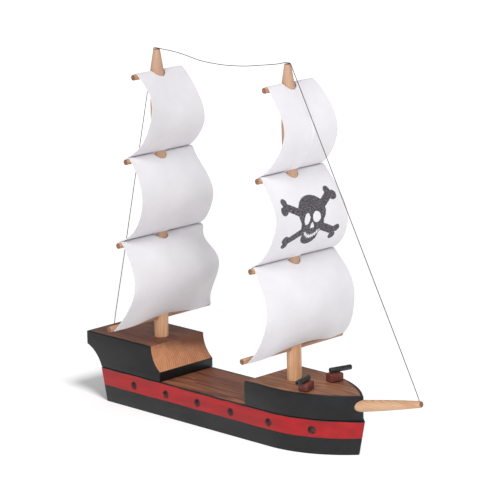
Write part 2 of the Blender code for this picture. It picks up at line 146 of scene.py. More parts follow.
class Finish:
    """A material and its node tree, with a short call for each kind of node that it uses."""

    def __init__(self, name):
        self.material = bpy.data.materials.new(name)
        self.material.use_nodes = True
        self.tree = self.material.node_tree
        self.shader = self.tree.nodes["Principled BSDF"]
        coordinates = self.tree.nodes.new("ShaderNodeTexCoord")
        self.place = coordinates.outputs["Object"]
        self.lengthwise = coordinates.outputs["UV"]

    def feed(self, value, socket):
        if isinstance(value, bpy.types.NodeSocket):
            self.tree.links.new(value, socket)
        else:
            socket.default_value = value

    def node(self, kind, *values, **settings):
        """A new node with its settings, and its first inputs fed in order."""
        node = self.tree.nodes.new("ShaderNode" + kind)
        for name, setting in settings.items():
            setattr(node, name, setting)
        for value, socket in zip(values, node.inputs):
            self.feed(value, socket)
        return node

    def math(self, operation, *values):
        return self.node("Math", *values, operation=operation).outputs[0]

    def hypot(self, first, second):
        square = self.math("MULTIPLY", second, second)
        return self.math("SQRT", self.math("MULTIPLY_ADD", first, first, square))

    def fold(self, operation, values, *rest):
        """One value made from several, two at a time."""
        whole = values[0]
        for value in values[1:]:
            whole = self.math(operation, whole, value, *rest)
        return whole

    def vector(self, operation, *values):
        node = self.node("VectorMath", *values, operation=operation)
        return node.outputs["Value" if operation == "LENGTH" else "Vector"]

    def parts(self, vector):
        return self.node("SeparateXYZ", vector).outputs

    def attribute(self, name):
        return self.node("Attribute", attribute_name=name).outputs["Vector"]

    def noise(self, scale, detail, roughness=0.55, place=None):
        """Smooth noise from about 0.3 to 0.7, with scale features to the metre, alike or for each axis."""
        node = self.node("TexNoise")
        scale = scale if isinstance(scale, tuple) else (scale,) * 3
        place = self.place if place is None else place
        self.feed(self.vector("MULTIPLY", place, scale), node.inputs["Vector"])
        for name, value in (("Scale", 1.0), ("Detail", detail), ("Roughness", roughness)):
            node.inputs[name].default_value = value
        return node.outputs["Fac"]

    def wobble(self, scale, detail, place=None):
        """Noise on both sides of 0."""
        return self.math("SUBTRACT", self.noise(scale, detail, place=place), 0.5)

    def patches(self, scale, detail, low=0.35, high=0.65, roughness=0.55, place=None):
        """Noise with its run from low to high laid out from 0 to 1."""
        return self.spread(self.noise(scale, detail, roughness, place), low, high)

    def spread(self, value, low, high, to_low=0.0, to_high=1.0, kind="SMOOTHSTEP"):
        """The value's run from low to high, laid out from to_low to to_high."""
        values = (value, low, high, to_low, to_high)
        return self.node("MapRange", *values, interpolation_type=kind).outputs[0]

    def mix(self, share, first, second):
        """From the first colour to the second: each an output, or (red, green, blue) as a screen has it."""
        node = self.node("Mix", data_type="RGBA")
        self.feed(share, node.inputs["Factor"])
        for colour, name in ((first, "A"), (second, "B")):
            self.feed(srgb(*colour) if isinstance(colour, tuple) else colour, node.inputs[name])
        return node.outputs["Result"]

    def finish(self, colour, roughness, height=None, depth=0.1 * MM, specular=0.5):
        """Sets the shader: depth is what the height's run from 0 to 1 stands for."""
        inputs = self.shader.inputs
        self.feed(colour, inputs["Base Color"])
        self.feed(roughness, inputs["Roughness"])
        inputs["Specular IOR Level"].default_value = specular
        if height is not None:
            bump = self.node("Bump")
            bump.inputs["Strength"].default_value = 1.0
            bump.inputs["Distance"].default_value = depth
            self.feed(height, bump.inputs["Height"])
            self.feed(bump.outputs["Normal"], inputs["Normal"])
        return self.material


def stretch(along, fine, coarse):
    """The scale of grain: few features to the metre along one axis, and many across."""
    return tuple(coarse if axis == along else fine for axis in range(3))


def wood(look, along, pith, year_width, early, late, streak, wander=1.0):
    """Colour and height of solid wood: years' rings round a pith along one axis, fibres and pores.

    The pith and the width of a year are in millimetres.
    """
    across = tuple(0.0 if axis == along else 1.0 for axis in range(3))
    pith = tuple(coordinate * MM for coordinate in pith)
    from_pith = look.vector("MULTIPLY", look.vector("SUBTRACT", look.place, pith), across)
    years = look.math("DIVIDE", look.vector("LENGTH", from_pith), year_width * MM)
    shift = look.math("MULTIPLY", look.wobble(stretch(along, 55, 7), 2.0), 5.0 * wander)
    ripple = look.wobble(stretch(along, 420, 28), 3.0)
    shift = look.math("MULTIPLY_ADD", ripple, 0.55 * wander, shift)
    year = look.math("FRACT", look.math("ADD", years, shift))
    ring = look.math("MULTIPLY", look.spread(year, 0.15, 0.86), look.spread(year, 1.0, 0.9))
    fibre = look.patches(stretch(along, 2600, 60), 3.0, 0.34, 0.66, 0.6)
    blotch = look.patches(stretch(along, 150, 16), 3.0, 0.36, 0.64)
    pores = look.patches(stretch(along, 3800, 170), 1.0, 0.60, 0.72)
    colour = look.mix(ring, early, late)
    for mark, strength, shade in ((blotch, 0.5, streak), (pores, 0.42, streak), (fibre, 0.16, late)):
        colour = look.mix(look.math("MULTIPLY", mark, strength), colour, shade)
    height = look.math("SUBTRACT", look.math("MULTIPLY", fibre, 0.5), look.math("MULTIPLY", pores, 0.8))
    return colour, look.math("MULTIPLY_ADD", ring, 0.3, height)


def brushed(look, along=0):
    """The height of brushed paint: strokes along one axis, and orange peel."""
    strokes = look.noise(stretch(along, 900, 24), 3.0, 0.6)
    return look.math("MULTIPLY_ADD", look.noise(420, 2.0), 0.6, strokes)


def black_coat(look):
    """The colour of the black paint, a little uneven."""
    return look.mix(look.patches((30, 90, 90), 4.0), (9, 10, 12), (20, 21, 24))


def bow_radius(tip_x):
    """The radius of the arcs that bring an outline's sides in to a point at tip_x."""
    run = tip_x - BOW_START_X
    return (run * run + HULL_TOP.y**2) / (2 * HULL_TOP.y)


def inset_from_edge(look, tip_x):
    """How far a point of a board's face lies in from the board's side."""
    radius = bow_radius(tip_x)
    x, y, _ = look.parts(look.place)
    past = look.math("MAXIMUM", look.math("SUBTRACT", x, BOW_START_X), 0.0)
    out = look.math("ADD", look.math("ABSOLUTE", y), radius - HULL_TOP.y)
    return look.math("SUBTRACT", radius, look.hypot(past, out))


def hull_paint():
    """Red above black, with a brushed black line along the deck's edge and round each porthole."""
    look = Finish("hull_paint")
    _, _, z = look.parts(look.place)
    wobble = look.wobble(70, 3.0)
    level = look.math("MULTIPLY_ADD", wobble, 1.1 * MM, z)
    red_share = look.spread(level, WATERLINE_Z - 0.12 * MM, WATERLINE_Z + 0.12 * MM)
    edge = look.math("MULTIPLY_ADD", wobble, 1.6 * MM, z)
    line_share = look.spread(edge, HULL_TOP.z - 0.75 * MM, HULL_TOP.z - 0.45 * MM)
    patch = look.patches(stretch(0, 160, 30), 4.0)
    red = look.mix(patch, (146, 14, 20), (166, 20, 25))
    colour = look.mix(red_share, black_coat(look), red)
    colour = look.mix(line_share, colour, (18, 18, 20))
    colour = look.mix(porthole_rings(look), colour, (22, 19, 22))
    rough = look.spread(patch, 0.0, 1.0, 0.36, 0.44, "LINEAR")
    return look.finish(colour, rough, brushed(look), PAINT_DEPTH, PAINT_GLOSS)


def porthole_rings(look):
    """1 on the black ring painted round each porthole."""
    offsets = [look.vector("SUBTRACT", look.place, tuple(centre)) for centre in porthole_centres()]
    nearest = look.fold("MINIMUM", [look.vector("LENGTH", offset) for offset in offsets])
    nearest = look.math("MULTIPLY_ADD", look.wobble(900, 2.0), 0.5 * MM, nearest)
    return look.spread(nearest, PORTHOLE_RADIUS + 0.62 * MM, PORTHOLE_RADIUS + 0.38 * MM)


def porthole_paint():
    look = Finish("porthole_paint")
    colour = look.mix(look.patches(900, 3.0), (84, 50, 54), (118, 76, 78))
    return look.finish(colour, 0.5, brushed(look), PAINT_DEPTH)


def block_paint():
    look = Finish("black_paint")
    grain = look.noise(stretch(0, 1400, 40), 3.0, 0.6)
    rough = look.spread(grain, 0.3, 0.7, 0.36, 0.46, "LINEAR")
    return look.finish(black_coat(look), rough, brushed(look), PAINT_DEPTH, PAINT_GLOSS)


def stained_deck(name, tip_x, pith, year_width, early, late, streak, margin):
    """Stained wood with the black of the sides brought in over its edges, margin millimetres wide."""
    look = Finish(name)
    colour, height = wood(look, 0, pith, year_width, early, late, streak, 1.5)
    inset = look.math("MULTIPLY_ADD", look.wobble(110, 3.0), 2.2 * MM, inset_from_edge(look, tip_x))
    x, _, _ = look.parts(look.place)
    stern_inset = look.math("SUBTRACT", x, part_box("poop_block")[0].x - 0.2 * MM)
    inset = look.math("MINIMUM", inset, stern_inset)
    share = look.spread(inset, (margin + 0.2) * MM, (margin - 0.2) * MM)
    return look.finish(look.mix(share, colour, black_coat(look)), 0.5, height, 0.06 * MM)


def cove_wood():
    """End grain, bare below and darkened by stain at the top."""
    look = Finish("cove_end_grain")
    colour, height = wood(
        look, 0, POOP_PITH, 1.2, (220, 160, 118), (176, 114, 76), (172, 108, 74), 0.2
    )
    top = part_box("poop_block")[1]
    _, y, z = look.parts(look.place)
    level = look.math("MULTIPLY_ADD", y, 0.24, z)
    level = look.math("MULTIPLY_ADD", look.wobble((120, 160, 160), 4.0), 6 * MM, level)
    stain = look.spread(level, top.z - 10 * MM, top.z + 0.5 * MM, 0.0, 0.9)
    colour = look.mix(stain, colour, (104, 56, 36))
    rim = look.spread(look.math("ABSOLUTE", y), top.y - 0.9 * MM, top.y - 0.5 * MM)
    foot = look.spread(z, COVE_FOOT_Z + 0.1 * MM, COVE_FOOT_Z - 0.1 * MM)
    colour = look.mix(look.math("MAXIMUM", rim, foot), colour, (20, 20, 22))
    return look.finish(colour, 0.62, height, 0.07 * MM)


def dowel(name, along, early, late, painted_sail_shade=False):
    """Pale wood with straight grain and faint rings; a mast's dowel darkens and greys with height, as
    painted shade where the sails shade it.
    """
    look = Finish(name)
    colour, height = wood(look, along, DOWEL_PITH, 1.3, early, late, (176, 120, 84), 0.8)
    if painted_sail_shade:
        _, _, z = look.parts(look.place)
        # painted shade of the sails: darker and greyer from 62 mm up, and so on to the tip
        sail_shade_share = look.spread(z, 62 * MM, 100 * MM, 0.0, 0.75)
        colour = look.mix(sail_shade_share, colour, (168, 136, 117))
    return look.finish(colour, 0.5, height, 0.035 * MM)


def dowel_end(name, along):
    """Sawn end grain, which takes up more dirt and oil than the sides."""
    look = Finish(name)
    colour, height = wood(
        look, along, DOWEL_PITH, 0.9, (168, 124, 92), (112, 78, 56), (92, 60, 44), 0.5
    )
    return look.finish(colour, 0.7, height, 0.06 * MM)


def cloth_height(look, cloth):
    """Plain weave in the cloth's own two directions, with thicker threads here and there."""
    x, y, _ = look.parts(look.vector("MULTIPLY", cloth, (math.pi / WEAVE_PITCH,) * 3))
    weave = look.math("MULTIPLY", look.math("SINE", x), look.math("SINE", y))
    slub = look.noise((320, 2400, 1), 2.0, place=cloth)
    cross = look.noise((2400, 320, 1), 2.0, place=cloth)
    return look.math("ADD", look.math("MULTIPLY_ADD", weave, 0.25, slub), cross)


def sail_cloth(name, emblem_centre=None):
    """White cloth; on one sail a painted skull and crossbones."""
    look = Finish(name)
    cloth = look.attribute("cloth")
    patch = look.patches((45, 45, 1), 4.0, 0.3, 0.7, place=cloth)
    colour = look.mix(patch, (220, 218, 222), (226, 224, 228))
    if emblem_centre:
        ink = emblem(look, cloth, emblem_centre)
        colour = look.mix(ink, colour, ink_colour(look, cloth))
    look.shader.inputs["Sheen Weight"].default_value = 0.15
    return look.finish(colour, 0.85, cloth_height(look, cloth), 0.03 * MM, 0.2)


def ink_colour(look, cloth):
    strokes = look.patches((500, 1500, 1), 4.0, 0.44, 0.70, 0.7, cloth)
    return look.mix(strokes, (62, 58, 63), (128, 124, 130))


def emblem(look, cloth, centre):
    """1 under the paint of a plain skull over two crossed bones, drawn with distances in millimetres."""
    op = look.math
    offset = look.vector("SUBTRACT", cloth, (*centre, 0))
    across, down, _ = look.parts(look.vector("MULTIPLY", offset, (1 / MM,) * 3))

    def from_point(x, y, cosine, sine):
        """How far the point (x, y) is passed along one direction, and across it."""
        dx, dy = op("SUBTRACT", across, x), op("SUBTRACT", down, y)
        along = op("MULTIPLY_ADD", dx, cosine, op("MULTIPLY", dy, sine))
        return along, op("MULTIPLY_ADD", dy, cosine, op("MULTIPLY", dx, -sine))

    def oval(x, y, wide, high, turn=0.0):
        u, v = from_point(x, y, math.cos(turn), math.sin(turn))
        reach = look.hypot(op("DIVIDE", u, wide), op("DIVIDE", v, high))
        return op("MULTIPLY", op("SUBTRACT", reach, 1.0), min(wide, high))

    def bar(x, y, to_x, to_y, thick):
        length = math.hypot(to_x - x, to_y - y)
        along, aside = from_point(x, y, (to_x - x) / length, (to_y - y) / length)
        past = op("SUBTRACT", op("ABSOLUTE", op("SUBTRACT", along, length / 2)), length / 2)
        return op("SUBTRACT", look.hypot(op("MAXIMUM", past, 0.0), aside), thick)

    shafts = (
        (-7, -3.5, -22.0, -11.2, 2.6), (7, -6.0, 19.6, -14.0, 2.9),
        (-7, 6.5, -22.0, 13.0, 2.5), (6, 5.5, 20.0, 11.6, 2.7),
    )
    knuckles = (
        (-23.2, -14.6, 2.6, 2.8), (-24.6, -9.0, 3.4, 3.2), (19.0, -16.8, 2.9, 3.0), (22.6, -12.8, 3.8, 3.4),
        (-23.2, 11.6, 3.1, 2.9), (-22.8, 15.8, 2.7, 2.5), (22.8, 10.2, 3.2, 2.7), (20.4, 15.4, 3.0, 2.9),
    )
    bones = [bar(*shaft) for shaft in shafts] + [oval(*knuckle) for knuckle in knuckles]
    skull = [oval(0.1, -4.9, 12.7, 11.3), oval(-0.2, 4.0, 10.4, 8.0), oval(-1.4, 12.0, 7.6, 6.3)]
    head = look.fold("SMOOTH_MIN", skull, 2.0)
    tooth = op("PINGPONG", op("ADD", across, 20.0), 0.85)
    lip = op("MULTIPLY_ADD", tooth, 1.8, oval(-0.3, 2.6, 8.6, 9.4))
    jaw = op("MULTIPLY_ADD", tooth, 1.0, oval(-0.3, 3.0, 9.0, 11.0))
    grin = look.fold("MAXIMUM", [jaw, op("MULTIPLY", lip, -1.0), op("SUBTRACT", 8.2, down)])
    nostrils = [oval(-2.0, 5.6, 3.4, 4.4, -0.3), oval(1.4, 5.6, 3.4, 4.4, 0.3)]
    nose = look.fold("MAXIMUM", [*nostrils, op("SUBTRACT", down, 6.3)])
    eyes = [oval(-4.9, -0.5, 2.6, 3.9, 0.38), oval(4.1, -0.7, 3.6, 3.7)]
    marks = look.fold("SMOOTH_MIN", [*eyes, grin, nose], 0.1)
    whole = look.fold("SMOOTH_MIN", [*bones, head], 0.9)
    whole = op("MAXIMUM", whole, op("MULTIPLY", marks, -1.0))
    whole = op("ADD", look.wobble((700, 700, 1), 3.0, cloth), whole)
    return look.spread(whole, 0.22, -0.22)


def carriage_stain():
    look = Finish("carriage_stain")
    colour, height = wood(look, 0, CARRIAGE_PITH, 1.6, (128, 60, 48), (92, 40, 32), (74, 30, 26))
    return look.finish(colour, 0.5, height, 0.05 * MM)


def barrel_paint():
    look = Finish("barrel_paint")
    colour = look.mix(look.patches(400, 4.0), (26, 28, 31), (40, 43, 46))
    return look.finish(colour, 0.42, brushed(look, 1), PAINT_DEPTH)


def twisted_thread():
    """Two plies twisted together, with painted shade darkening the grooves between them."""
    look = Finish("twisted_thread")
    along, around, _ = look.parts(look.lengthwise)
    twist = look.math("MULTIPLY", around, 2.0)
    phase = look.math("MULTIPLY_ADD", along, THREAD_LENGTH / THREAD_TURN, twist)
    ply = look.math("ABSOLUTE", look.math("SINE", look.math("MULTIPLY", phase, math.pi)))
    fuzz = look.noise(5000, 2.0)
    # painted shade: darker down in the grooves between the plies, with some random fuzz
    shade = look.math("MULTIPLY_ADD", fuzz, 0.4, look.math("MULTIPLY", ply, 0.6))
    colour = look.mix(shade, (14, 14, 16), (50, 50, 54))
    return look.finish(colour, 0.8, ply, 0.12 * MM, 0.3)


def make_finishes():
    tip_xs = {"bow_deck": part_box("forecastle_block")[1].x, "bare_bottom": HULL_TOP.x - END_RAKE}
    decks = {name: stained_deck(name, tip_xs.get(name, HULL_TOP.x), *look) for name, look in DECKS.items()}
    return {
        "hull": hull_paint(),
        "porthole": porthole_paint(),
        "block": block_paint(),
        **decks,
        "cove": cove_wood(),
        "mast": dowel("mast_dowel", 2, (244, 200, 158), (226, 174, 132), True),
        "yard": dowel("yard_dowel", 1, (204, 167, 136), (174, 134, 107)),
        "spar": dowel("bowsprit_dowel", 0, (219, 184, 149), (199, 156, 121)),
        "mast_end": dowel_end("mast_end_grain", 2),
        "yard_end": dowel_end("yard_end_grain", 1),
        "spar_end": dowel_end("bowsprit_end_grain", 0),
        "carriage": carriage_stain(),
        "barrel": barrel_paint(),
        "thread": twisted_thread(),
        "cloth": sail_cloth("sail_cloth"),
        "emblem": sail_cloth("sail_cloth_emblem", EMBLEM_CENTRE),
    }


# ---------------- mesh helpers


def show(data, name):
    piece = bpy.data.objects.new(name, data)
    bpy.context.scene.collection.objects.link(piece)
    return piece


def shown(shape, name):
    """Shows a shape as a mesh of its own, and frees it."""
    mesh = bpy.data.meshes.new(name)
    shape.to_mesh(mesh)
    shape.free()
    return show(mesh, name)


def settled(piece):
    """Applies the piece's modifiers, and removes the cutters that they used."""
    cutters = [m.object for m in piece.modifiers if m.type == "BOOLEAN"]
    depsgraph = bpy.context.evaluated_depsgraph_get()
    evaluated = piece.evaluated_get(depsgraph)
    mesh = bpy.data.meshes.new_from_object(evaluated, preserve_all_data_layers=True, depsgraph=depsgraph)
    piece.modifiers.clear()
    piece.data = mesh
    mesh.name = piece.name
    for cutter in cutters:
        bpy.data.objects.remove(cutter)
    return piece


def belongs(piece, node, body):
    """The piece stands for the CAD node, and moves with its body."""
    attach(piece, body)
    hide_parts(node)


def complete(piece, name, finishes, node, body, choose=None, angle=SMOOTH_ANGLE):
    """Settles, names, paints and smooths a piece; choose names a finish for a face's centre and normal."""
    settled(piece).name = name
    piece.data.materials.clear()
    for finish in finishes:
        piece.data.materials.append(FINISHES[finish])
    if choose:
        for face in piece.data.polygons:
            face.material_index = finishes.index(choose(face.center, face.normal))
    piece.data.shade_smooth()
    piece.data.set_sharp_from_angle(angle=angle)
    belongs(piece, node, body)


def complete_dowel(piece, name, look, axis, node, body):
    """Completes a dowel: long grain on its sides, and end grain where it's sawn across."""
    looks = (look, look + "_end")
    complete(piece, name, looks, node, body, lambda _, normal: looks[abs(normal[axis]) > 0.7])


def cut(piece, cutter):
    modifier = piece.modifiers.new("cut", "BOOLEAN")
    modifier.operation = "DIFFERENCE"
    modifier.solver = "EXACT"
    modifier.object = cutter


def measures(node):
    """The middle of a CAD node's box, and half its sides."""
    lo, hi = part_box(node)
    return (lo + hi) / 2, (hi - lo) / 2


def ease(piece, width, segments=3, angle=25):
    modifier = piece.modifiers.new("eased", "BEVEL")
    modifier.width = width
    modifier.segments = segments
    modifier.limit_method = "ANGLE"
    modifier.angle_limit = math.radians(angle)
    modifier.harden_normals = False


def towards(axis):
    """The turn of Z onto an axis."""
    return axis.to_track_quat("Z", "Y").to_matrix().to_4x4()


def rod(start, end, radius, sides=32):
    axis = end - start
    shape = bmesh.new()
    bmesh.ops.create_cone(
        shape, cap_ends=True, segments=sides, radius1=radius, radius2=radius, depth=axis.length
    )
    place = Matrix.Translation((start + end) / 2) @ towards(axis)
    bmesh.ops.transform(shape, matrix=place, verts=shape.verts)
    return shown(shape, "rod")


def prism(outline, thickness, place):
    """A closed slab: place turns a flat corner and a height of 0 or thickness into a point."""
    shape = bmesh.new()
    face = shape.faces.new([shape.verts.new(place(u, v, 0.0)) for u, v in outline])
    raised = bmesh.ops.extrude_face_region(shape, geom=[face])["geom"]
    top = [v for v in raised if isinstance(v, bmesh.types.BMVert)]
    shift = place(*outline[0], thickness) - place(*outline[0], 0.0)
    bmesh.ops.translate(shape, vec=shift, verts=top)
    bmesh.ops.recalc_face_normals(shape, faces=shape.faces)
    return shown(shape, "prism")


def turned(profile, sides=64):
    """A solid of revolution about Z from (radius, height) pairs, top to bottom."""
    shape = bmesh.new()
    angles = [2 * math.pi * i / sides for i in range(sides)]
    rings = []
    for radius, height in profile:
        places = [(radius * math.cos(a), radius * math.sin(a), height) for a in angles]
        rings.append([shape.verts.new(place) for place in (places if radius else places[:1])])
    for upper, lower in zip(rings, rings[1:]):
        for i in range(sides):
            j = (i + 1) % sides
            corners = [ring[k % len(ring)] for ring, k in ((upper, i), (lower, i), (lower, j), (upper, j))]
            shape.faces.new(list(dict.fromkeys(corners)))
    return shown(shape, "turned")


def between(points, t):
    """A smooth curve through values evenly spaced over t from -1 to 1."""
    padded = [2 * points[0] - points[1], *points, 2 * points[-1] - points[-2]]
    place = (t + 1) / 2 * (len(points) - 1)
    i = min(int(place), len(points) - 2)
    share = place - i
    before, a, b, after = padded[i : i + 4]
    square, cube = share * share, share**3
    return (
        (2 * cube - 3 * square + 1) * a
        + (cube - 2 * square + share) * (b - before) / 2
        + (3 * square - 2 * cube) * b
        + (cube - square) * (after - a) / 2
    )


def smooth_points(route, spacing):
    """Points on the centripetal Catmull-Rom curve through the route, as the frame's own tube has them."""
    padded = [2 * route[0] - route[1], *route, 2 * route[-1] - route[-2]]
    points = []
    for a, b, c, d in zip(padded, padded[1:], padded[2:], padded[3:]):
        knots = [0.0]
        for p, q in ((a, b), (b, c), (c, d)):
            knots.append(knots[-1] + math.sqrt((q - p).length))
        steps = math.ceil((c - b).length / spacing)
        for i in range(steps):
            t = knots[1] + (knots[2] - knots[1]) * i / steps
            level = [a, b, c, d]
            for reach in (1, 2):
                level = [
                    p.lerp(q, (t - knots[k]) / (knots[k + reach] - knots[k]))
                    for k, (p, q) in enumerate(zip(level, level[1:]))
                ]
            points.append(level[0].lerp(level[1], (t - knots[1]) / (knots[2] - knots[1])))
    points.append(route[-1])
    return points


# ---------------- hull


def side_y(x, tip_x):
    """Half width of an outline whose sides curve in to a point at tip_x."""
    if x <= BOW_START_X:
        return HULL_TOP.y
    radius = bow_radius(tip_x)
    return math.sqrt(max(radius**2 - (x - BOW_START_X) ** 2, 0.0)) - (radius - HULL_TOP.y)


def ship_outline(aft_x, tip_x, stem_half_width):
    """Anticlockwise from the aft port corner, with a rounded stem where the sides are this close."""
    steps, stem_steps, bluntness = 40, 6, 0.75
    run = tip_x - BOW_START_X
    xs = [BOW_START_X + run * math.sin(math.pi / 2 * i / steps) for i in range(steps)]
    port = [(x, side_y(x, tip_x)) for x in xs if side_y(x, tip_x) > stem_half_width]
    last_x, last_y = port[-1]
    for i in range(1, stem_steps):
        angle = math.pi / 2 * (1 - i / stem_steps)
        port.append((last_x + last_y * bluntness * math.cos(angle), last_y * math.sin(angle)))
    stern = [(aft_x, HULL_TOP.y), (aft_x, -HULL_TOP.y)]
    return stern + [(x, -y) for x, y in port] + [(last_x + last_y * bluntness, 0.0)] + port[::-1]


def arc(start, end, depth, steps=16):
    """Points after start up to end on an arc that stands depth off the chord, to its left."""
    chord = math.dist(start, end)
    radius = (chord**2 / 4 + depth**2) / (2 * depth)
    along = Vector((end[0] - start[0], end[1] - start[1])) / chord
    left = Vector((-along.y, along.x))
    middle = (Vector(start) + Vector(end)) / 2 + left * (depth - radius)
    half = math.asin(chord / 2 / radius)
    turns = [half - 2 * half * i / steps for i in range(1, steps)]
    inner = [middle + radius * (left * math.cos(a) - along * math.sin(a)) for a in turns]
    return [tuple(p) for p in inner] + [end]


def porthole_centres():
    """On the hull's sides, which lean in below the deck at the bow, starboard and port."""
    lean = END_RAKE * (1 - PORTHOLE_Z / HULL_TOP.z)
    centres = []
    for x in (x_mm * MM for x_mm in PORTHOLE_XS):
        share = max(x - BOW_START_X, 0.0) / (HULL_TOP.x - BOW_START_X)
        for sign in (-1, 1):
            centres.append(Vector((x - lean * share, sign * side_y(x, HULL_TOP.x), PORTHOLE_Z)))
    return centres


def make_hull():
    lo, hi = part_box("hull_board")
    outline = ship_outline(lo.x, hi.x, STEM_HALF_WIDTH)
    hull = prism(outline, hi.z, lambda x, y, z: Vector((x, y, z)))
    for vertex in hull.data.vertices:
        if vertex.co.z < hi.z / 2:
            if vertex.co.x < 0:
                vertex.co.x += END_RAKE
            elif vertex.co.x > BOW_START_X:
                vertex.co.x -= END_RAKE * (vertex.co.x - BOW_START_X) / (hi.x - BOW_START_X)
    ease(hull, EDGE_ROUND)
    ports = porthole_centres()
    for centre in ports:
        ahead = side_y(centre.x + MM, hi.x) - side_y(centre.x, hi.x)
        outward = Vector((-ahead / MM, math.copysign(1.0, centre.y), 0)).normalized()
        cut(hull, rod(centre - outward * PORTHOLE_DEPTH, centre + outward * 4 * MM, PORTHOLE_RADIUS))

    def finish_at(centre, normal):
        if normal.z > 0.95 and centre.z > hi.z - 0.1 * MM:
            return "waist_deck"
        inside = abs(centre.y) < side_y(centre.x, hi.x) - 0.5 * MM
        if inside and any((centre - port).length < 1.5 * PORTHOLE_RADIUS for port in ports):
            return "porthole"
        return "bare_bottom" if normal.z < -0.95 else "hull"

    looks = ("hull", "waist_deck", "bare_bottom", "porthole")
    complete(hull, "hull_plank", looks, "hull_board", "hull", finish_at)


def make_poop():
    lo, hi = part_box("poop_block")
    hull_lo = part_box("hull_board")[0]
    outline = [(hi.x, lo.z), (hi.x, COVE_FOOT_Z)]
    outline += arc((hi.x, COVE_FOOT_Z), (COVE_TOP_X, hi.z), FRONT_COVE_DEPTH)
    stern_corner = (lo.x, STERN_CORNER_Z)
    outline += [(lo.x, hi.z), stern_corner]
    outline += arc(stern_corner, (hull_lo.x, lo.z), STERN_COVE_DEPTH)
    block = prism(outline, hi.y - lo.y, lambda x, z, y: Vector((x, lo.y + y, z)))
    ease(block, EDGE_ROUND)

    def finish_at(centre, normal):
        if normal.z > 0.95 and centre.z > hi.z - 0.1 * MM:
            return "poop_deck"
        ahead = normal.x > 0.15 and centre.x > COVE_TOP_X - MM
        if ahead and COVE_FOOT_Z + 0.1 * MM < centre.z and abs(normal.y) < 0.3:
            return "cove"
        return "block"

    complete(block, "poop", ("block", "poop_deck", "cove"), "poop_block", "hull", finish_at)


def make_forecastle():
    lo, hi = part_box("forecastle_block")
    outline = ship_outline(lo.x, hi.x, 1.5 * STEM_HALF_WIDTH)
    block = prism(outline, hi.z - lo.z, lambda x, y, z: Vector((x, y, lo.z + z)))
    ease(block, EDGE_ROUND)

    def finish_at(_, normal):
        return "bow_deck" if normal.z > 0.95 else "block"

    complete(block, "forecastle", ("block", "bow_deck"), "forecastle_block", "hull", finish_at)


# ---------------- masts and yards


def make_mast(mast):
    """A straight dowel with a conical tip, bored for its yards, leaning a little."""
    top = MASTS[mast]["top"]
    shoulder, rounding, edge = top - MAST_TAPER, 0.6 * MM, 0.3 * MM
    profile = [
        (0.0, top),
        (MAST_TIP_RADIUS - edge, top),
        (MAST_TIP_RADIUS, top - edge),
        (MAST_RADIUS - rounding / 4, shoulder + rounding),
        (MAST_RADIUS, shoulder - rounding),
        (MAST_RADIUS, MAST_FOOT + MM),
        (MAST_RADIUS - MM, MAST_FOOT),
        (0.0, MAST_FOOT),
    ]
    piece = turned(profile)
    lean = Matrix.Rotation(MASTS[mast]["lean"], 4, "Y")
    piece.data.transform(Matrix.Translation((MASTS[mast]["x"], 0, 0)) @ lean)
    for level in range(1, 5):
        middle, half = measures(f"{mast}_yard_{level}")
        reach = Vector((0, 2 * MAST_RADIUS, 0))
        cut(piece, rod(middle - reach, middle + reach, half.z + YARD_BORE_GAP))
    complete_dowel(piece, mast + "_mast_dowel", "mast", 2, mast + "_mast", mast + "_mast")


def make_yard(mast, level):
    node = f"{mast}_yard_{level}"
    middle, half = measures(node)
    reach = Vector((0, half.y, 0))
    yard = rod(middle - reach, middle + reach, half.z)
    ease(yard, 0.4 * MM, 3, 60)
    complete_dowel(yard, node + "_dowel", "yard", 1, node, mast + "_mast")


# ---------------- sails

CLOTH_THICKNESS = 0.4 * MM
CLOTH_ANGLE = math.radians(50)  # bends up to this stay smooth
WRAP_GAP = 0.3 * MM  # from the yard to the middle of the cloth
LAPPED_GAP = WRAP_GAP + 1.2 * CLOTH_THICKNESS  # the same, over the next sail's head
BACK_ANGLE = math.radians(205)  # where the cloth ends behind the yard
NOTCH_HALF_WIDTH = 5.7 * MM
NOTCH_DEPTH = 6.6 * MM
NOTCH_REACH = 15 * MM  # how far from a yard the cloth gives way to the mast
BARE = (3.2 * MM, 0.6 * MM)  # what each sail leaves of its yards, to starboard and to port
LOOSE_BARE = (2.0 * MM, 0.4 * MM)
MAST_CLEARANCE = 0.35 * MM
FOOT_ON_MAST = 2.8 * MM  # how far above its yard a sail's foot ends beside the mast
FOOT_SLOPE = 0.35  # how much higher it ends for each unit that the mast's front stands ahead
STRAIGHT_HALF_WIDTH = 9 * MM  # the cloth's middle, where columns run straight down
COLUMNS_INSIDE, COLUMNS_OUTSIDE = 14, 14  # on each side of the mast
SAIL_ROWS = 56
WRINKLE_HEIGHT = 0.25 * MM
CREASE_HEIGHT = 0.35 * MM
CREASE_Y, CREASE_HALF_WIDTH = 4.5 * MM, 1.5 * MM
LEVELS = ("lower", "middle", "top")
LEAST_LEAVE = math.radians(-10)  # the lowest place on a yard that the cloth leaves it from
EMBLEM_SAIL = ("fore", 2)
CREASED_SAIL = ("fore", 3)

